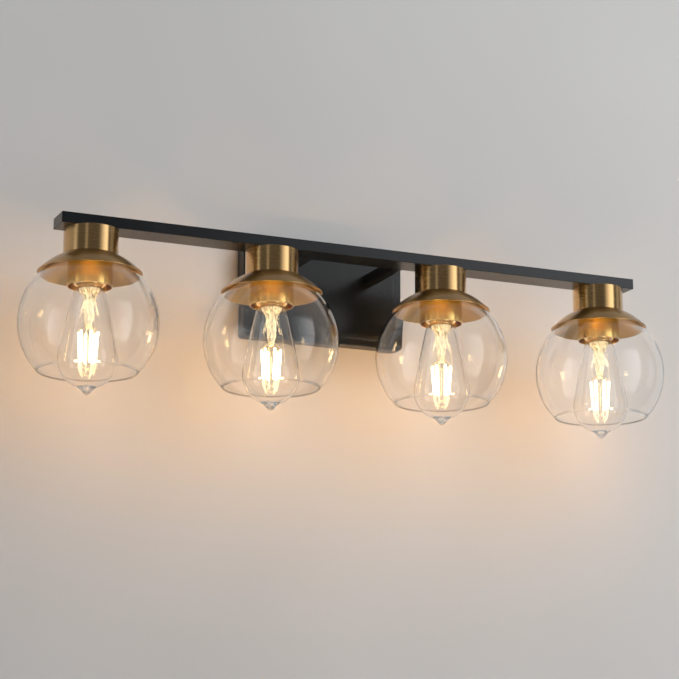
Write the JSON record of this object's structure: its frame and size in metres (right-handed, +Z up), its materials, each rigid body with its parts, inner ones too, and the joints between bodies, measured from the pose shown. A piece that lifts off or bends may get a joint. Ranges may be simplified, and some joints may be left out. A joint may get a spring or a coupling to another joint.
{
  "type": "vanity light bar",
  "caption": "Wall light for over a mirror: a black bar on a stepped wall plate carries open clear glass globes on brushed brass holders, each with a filament bulb.",
  "frame": {"origin": "centre of the back of the wall plate, on the wall", "axes": "+X along the bar, +Y into the wall, +Z up"},
  "size_m": [0.774, 0.197, 0.2232],
  "materials": {
    "black_powder_coat": "satin black powder coat",
    "brushed_brass": "brushed, clear lacquered",
    "zinc_steel": "zinc plated",
    "contact_brass": "bright",
    "screw_shell_metal": "bright",
    "porcelain": "glazed white",
    "green_screw": "green",
    "orange_plastic": "matte",
    "wire_jacket": "soft",
    "silicone": "matte black",
    "clear_globe_glass": "clear",
    "bulb_glass": "clear, thin",
    "bulb_insulator": "black vitrite",
    "filament": "lit phosphor"
  },
  "bodies": {
    "fixture": {"bar": "black_powder_coat", "bar_cover": "black_powder_coat", "arm_left": "black_powder_coat", "arm_right": "black_powder_coat", "wall_plate": "black_powder_coat", "plate_screws": "black_powder_coat", "cover_screws": "zinc_steel", "arm_nipples": "zinc_steel", "arm_nuts": "zinc_steel", "mounting_plate": "zinc_steel", "nipples": "zinc_steel", "nipple_nuts": "zinc_steel", "ground_screw": "green_screw", "wire_nuts": "orange_plastic", "wiring": "wire_jacket", "shade_washers": "silicone", "screw_shells": "screw_shell_metal", "centre_contacts": "contact_brass", "cup_1": "brushed_brass", "dish_1": "brushed_brass", "lamp_holder_1": "porcelain", "cup_2": "brushed_brass", "dish_2": "brushed_brass", "lamp_holder_2": "porcelain", "cup_3": "brushed_brass", "dish_3": "brushed_brass", "lamp_holder_3": "porcelain", "cup_4": "brushed_brass", "dish_4": "brushed_brass", "lamp_holder_4": "porcelain"},
    "glass_1": {"shade_1": "clear_globe_glass"},
    "ring_1": {"sleeve_1": "brushed_brass"},
    "carrier_1": {"bulb_contact_1": "contact_brass"},
    "bulb_1": {"bulb_insulator_1": "bulb_insulator", "bulb_cap_1": "screw_shell_metal", "bulb_glass_1": "bulb_glass", "bulb_filaments_1": "filament"},
    "glass_2": {"shade_2": "clear_globe_glass"},
    "ring_2": {"sleeve_2": "brushed_brass"},
    "carrier_2": {"bulb_contact_2": "contact_brass"},
    "bulb_2": {"bulb_insulator_2": "bulb_insulator", "bulb_cap_2": "screw_shell_metal", "bulb_glass_2": "bulb_glass", "bulb_filaments_2": "filament"},
    "glass_3": {"shade_3": "clear_globe_glass"},
    "ring_3": {"sleeve_3": "brushed_brass"},
    "carrier_3": {"bulb_contact_3": "contact_brass"},
    "bulb_3": {"bulb_insulator_3": "bulb_insulator", "bulb_cap_3": "screw_shell_metal", "bulb_glass_3": "bulb_glass", "bulb_filaments_3": "filament"},
    "glass_4": {"shade_4": "clear_globe_glass"},
    "ring_4": {"sleeve_4": "brushed_brass"},
    "carrier_4": {"bulb_contact_4": "contact_brass"},
    "bulb_4": {"bulb_insulator_4": "bulb_insulator", "bulb_cap_4": "screw_shell_metal", "bulb_glass_4": "bulb_glass", "bulb_filaments_4": "filament"}
  },
  "joints": [
    {"name": "shade_1_drop", "type": "slide", "parent": "fixture", "child": "glass_1", "axis": [0, 0, -1], "range_m": [0, 0.009]},
    {"name": "sleeve_1_turn", "type": "hinge", "parent": "glass_1", "child": "ring_1", "pos_m": [-0.312, -0.122, -0.032], "axis": [0, 0, -1], "range_deg": [0, 1075]},
    {"name": "bulb_1_drop", "type": "slide", "parent": "fixture", "child": "carrier_1", "axis": [0, 0, -1], "range_m": [0, 0.0118]},
    {"name": "bulb_1_turn", "type": "hinge", "parent": "carrier_1", "child": "bulb_1", "pos_m": [-0.312, -0.122, -0.036], "axis": [0, 0, -1], "range_deg": [0, 1165]},
    {"name": "shade_2_drop", "type": "slide", "parent": "fixture", "child": "glass_2", "axis": [0, 0, -1], "range_m": [0, 0.009]},
    {"name": "sleeve_2_turn", "type": "hinge", "parent": "glass_2", "child": "ring_2", "pos_m": [-0.104, -0.122, -0.032], "axis": [0, 0, -1], "range_deg": [0, 1075]},
    {"name": "bulb_2_drop", "type": "slide", "parent": "fixture", "child": "carrier_2", "axis": [0, 0, -1], "range_m": [0, 0.0118]},
    {"name": "bulb_2_turn", "type": "hinge", "parent": "carrier_2", "child": "bulb_2", "pos_m": [-0.104, -0.122, -0.036], "axis": [0, 0, -1], "range_deg": [0, 1165]},
    {"name": "shade_3_drop", "type": "slide", "parent": "fixture", "child": "glass_3", "axis": [0, 0, -1], "range_m": [0, 0.009]},
    {"name": "sleeve_3_turn", "type": "hinge", "parent": "glass_3", "child": "ring_3", "pos_m": [0.104, -0.122, -0.032], "axis": [0, 0, -1], "range_deg": [0, 1075]},
    {"name": "bulb_3_drop", "type": "slide", "parent": "fixture", "child": "carrier_3", "axis": [0, 0, -1], "range_m": [0, 0.0118]},
    {"name": "bulb_3_turn", "type": "hinge", "parent": "carrier_3", "child": "bulb_3", "pos_m": [0.104, -0.122, -0.036], "axis": [0, 0, -1], "range_deg": [0, 1165]},
    {"name": "shade_4_drop", "type": "slide", "parent": "fixture", "child": "glass_4", "axis": [0, 0, -1], "range_m": [0, 0.009]},
    {"name": "sleeve_4_turn", "type": "hinge", "parent": "glass_4", "child": "ring_4", "pos_m": [0.312, -0.122, -0.032], "axis": [0, 0, -1], "range_deg": [0, 1075]},
    {"name": "bulb_4_drop", "type": "slide", "parent": "fixture", "child": "carrier_4", "axis": [0, 0, -1], "range_m": [0, 0.0118]},
    {"name": "bulb_4_turn", "type": "hinge", "parent": "carrier_4", "child": "bulb_4", "pos_m": [0.312, -0.122, -0.036], "axis": [0, 0, -1], "range_deg": [0, 1165]}
  ],
  "couplings": [
    {"joint": "shade_1_drop", "follows": "sleeve_1_turn", "m_per_rad": 0.00047746},
    {"joint": "bulb_1_drop", "follows": "bulb_1_turn", "m_per_rad": 0.00057757},
    {"joint": "shade_2_drop", "follows": "sleeve_2_turn", "m_per_rad": 0.00047746},
    {"joint": "bulb_2_drop", "follows": "bulb_2_turn", "m_per_rad": 0.00057757},
    {"joint": "shade_3_drop", "follows": "sleeve_3_turn", "m_per_rad": 0.00047746},
    {"joint": "bulb_3_drop", "follows": "bulb_3_turn", "m_per_rad": 0.00057757},
    {"joint": "shade_4_drop", "follows": "sleeve_4_turn", "m_per_rad": 0.00047746},
    {"joint": "bulb_4_drop", "follows": "bulb_4_turn", "m_per_rad": 0.00057757}
  ]
}
